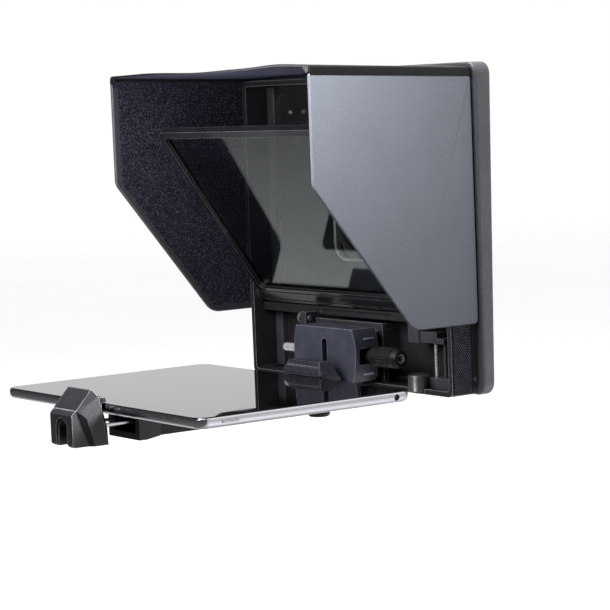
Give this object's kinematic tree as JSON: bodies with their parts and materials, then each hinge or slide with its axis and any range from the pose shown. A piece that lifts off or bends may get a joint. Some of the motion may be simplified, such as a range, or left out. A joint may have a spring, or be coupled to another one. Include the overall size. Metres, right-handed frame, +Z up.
{
  "type": "teleprompter",
  "caption": "Folding teleprompter: a hooded box with an angled beam-splitter glass that hangs from a camera lens, and a tilting clamp arm that holds a tablet flat below it.",
  "frame": {"origin": "centre of the rear face of the lens adapter ring, on the lens axis", "axes": "+Y along the lens axis, from the hood's open front towards the camera; +Z up; +X to the side of the tilt knob"},
  "size_m": [0.205, 0.2284, 0.2008],
  "materials": {
    "frame_metal": "satin dark grey powder coat",
    "moulded_black": "fine grained",
    "window_rim": "pale satin",
    "black_anodised": "turned and anodised",
    "bright_steel": "bright turned",
    "brass_insert": "turned",
    "hook_tape": "woven hooks",
    "hood_outer": "fine grained satin skin over board",
    "hood_flock": "matt flocked lining",
    "hood_fold": "semi-gloss fold",
    "frame_gloss": "gloss black",
    "beam_glass": "half mirrored",
    "black_rubber": "soft",
    "holder_grey": "blue-grey satin",
    "arm_dark": "fine grained",
    "knob_rubber": "knurled",
    "tablet_metal": "bead blasted with bright chamfer",
    "tablet_glass": "switched-off screen"
  },
  "bodies": {
    "housing": {"rear_frame": "frame_metal", "back_plate": "moulded_black", "rear_cover": "moulded_black", "window_trim": "window_rim", "lens_socket": "black_anodised", "lens_adapter_ring": "black_anodised", "cover_screws": "bright_steel", "housing_box": "moulded_black", "box_screws": "bright_steel", "inner_rail_left": "moulded_black", "inner_rail_right": "moulded_black", "cross_bar": "moulded_black", "base_block": "moulded_black", "tripod_insert": "brass_insert", "hook_tape_left": "hook_tape", "hook_tape_right": "hook_tape", "hook_tape_top": "hook_tape", "hood_top": "hood_flock", "hood_hinge_left": "hood_fold", "hood_hinge_right": "hood_fold", "hinge_bracket_left": "moulded_black", "hinge_bracket_right": "moulded_black", "glass_hinge_pins": "bright_steel", "hinge_screws": "bright_steel", "mount_plate": "moulded_black", "plate_screws": "bright_steel", "rail_blocks": "holder_grey", "rail_rods": "bright_steel", "tilt_shaft": "bright_steel"},
    "ring_lock": {"ring_lock_screw": "bright_steel"},
    "left_flap": {"hood_left": "hood_outer"},
    "right_flap": {"hood_right": "hood_outer"},
    "glass": {"glass_frame": "frame_gloss", "beam_splitter_glass": "beam_glass", "glass_gasket": "black_rubber", "glass_retainer": "frame_gloss", "retainer_screws": "bright_steel"},
    "release": {"release_knob": "knob_rubber"},
    "foot": {"foot_knob": "knob_rubber"},
    "tilt_lock": {"tilt_knob": "knob_rubber", "tilt_knob_ring": "bright_steel"},
    "holder": {"tilt_block": "holder_grey", "block_clips": "bright_steel", "arm_channel": "arm_dark", "arm_collar": "holder_grey"},
    "arm_lock": {"arm_lock_knob": "arm_dark"},
    "rear_clamp": {"rear_jaw": "holder_grey", "rear_jaw_pad": "black_rubber", "jaw_guide_nut": "bright_steel"},
    "front_clamp": {"front_jaw": "holder_grey", "front_jaw_pad": "black_rubber", "jaw_rods": "bright_steel", "jaw_slider": "moulded_black", "jaw_screws": "bright_steel"},
    "tablet": {"tablet_case": "tablet_metal", "tablet_screen": "tablet_glass"},
    "volume_up": {"volume_up_button": "tablet_metal"},
    "volume_down": {"volume_down_button": "tablet_metal"},
    "power": {"power_button": "tablet_metal"}
  },
  "joints": [
    {"name": "glass_fold", "type": "hinge", "parent": "housing", "child": "glass", "pos_m": [0, -0.03, -0.054], "axis": [1, 0, 0], "range_deg": [-35, 10]},
    {"name": "left_flap_swing", "type": "hinge", "parent": "housing", "child": "left_flap", "pos_m": [-0.0972, -0.073, 0.07696], "axis": [0, 0.9995, -0.0323], "range_deg": [0, 90]},
    {"name": "right_flap_swing", "type": "hinge", "parent": "housing", "child": "right_flap", "pos_m": [0.0972, -0.073, 0.07696], "axis": [0, -0.9995, 0.0323], "range_deg": [0, 90]},
    {"name": "holder_tilt", "type": "hinge", "parent": "housing", "child": "holder", "pos_m": [0, -0.04, -0.0845], "axis": [1, 0, 0], "range_deg": [-8, 8]},
    {"name": "tilt_knob_turn", "type": "hinge", "parent": "housing", "child": "tilt_lock", "pos_m": [0.044, -0.04, -0.0845], "axis": [1, 0, 0], "continuous": true},
    {"name": "release_knob_turn", "type": "hinge", "parent": "housing", "child": "release", "pos_m": [-0.0432, -0.0355, -0.0668], "axis": [1, 0, 0], "continuous": true},
    {"name": "foot_knob_turn", "type": "hinge", "parent": "housing", "child": "foot", "pos_m": [0.0645, -0.0343, -0.096], "axis": [0, 0, 1], "continuous": true},
    {"name": "ring_lock_turn", "type": "hinge", "parent": "housing", "child": "ring_lock", "pos_m": [0.03535, -0.005, 0.03535], "axis": [0.7071, 0, 0.7071], "continuous": true},
    {"name": "arm_knob_turn", "type": "hinge", "parent": "holder", "child": "arm_lock", "pos_m": [0, -0.0576, -0.118], "axis": [0, 0, 1], "continuous": true},
    {"name": "rear_jaw_lift", "type": "slide", "parent": "holder", "child": "rear_clamp", "axis": [0, 0, 1], "range_m": [0, 0.008]},
    {"name": "front_jaw_slide", "type": "slide", "parent": "holder", "child": "front_clamp", "axis": [0, -1, 0], "range_m": [0, 0.03]},
    {"name": "tablet_slide", "type": "slide", "parent": "holder", "child": "tablet", "axis": [1, 0, 0], "range_m": [0, 0.215]},
    {"name": "volume_up_press", "type": "slide", "parent": "tablet", "child": "volume_up", "axis": [0, 1, 0], "range_m": [0, 0.0003], "stiffness_N_per_m": 400},
    {"name": "volume_down_press", "type": "slide", "parent": "tablet", "child": "volume_down", "axis": [0, 1, 0], "range_m": [0, 0.0003], "stiffness_N_per_m": 400},
    {"name": "power_press", "type": "slide", "parent": "tablet", "child": "power", "axis": [-1, 0, 0], "range_m": [0, 0.0003], "stiffness_N_per_m": 400}
  ]
}
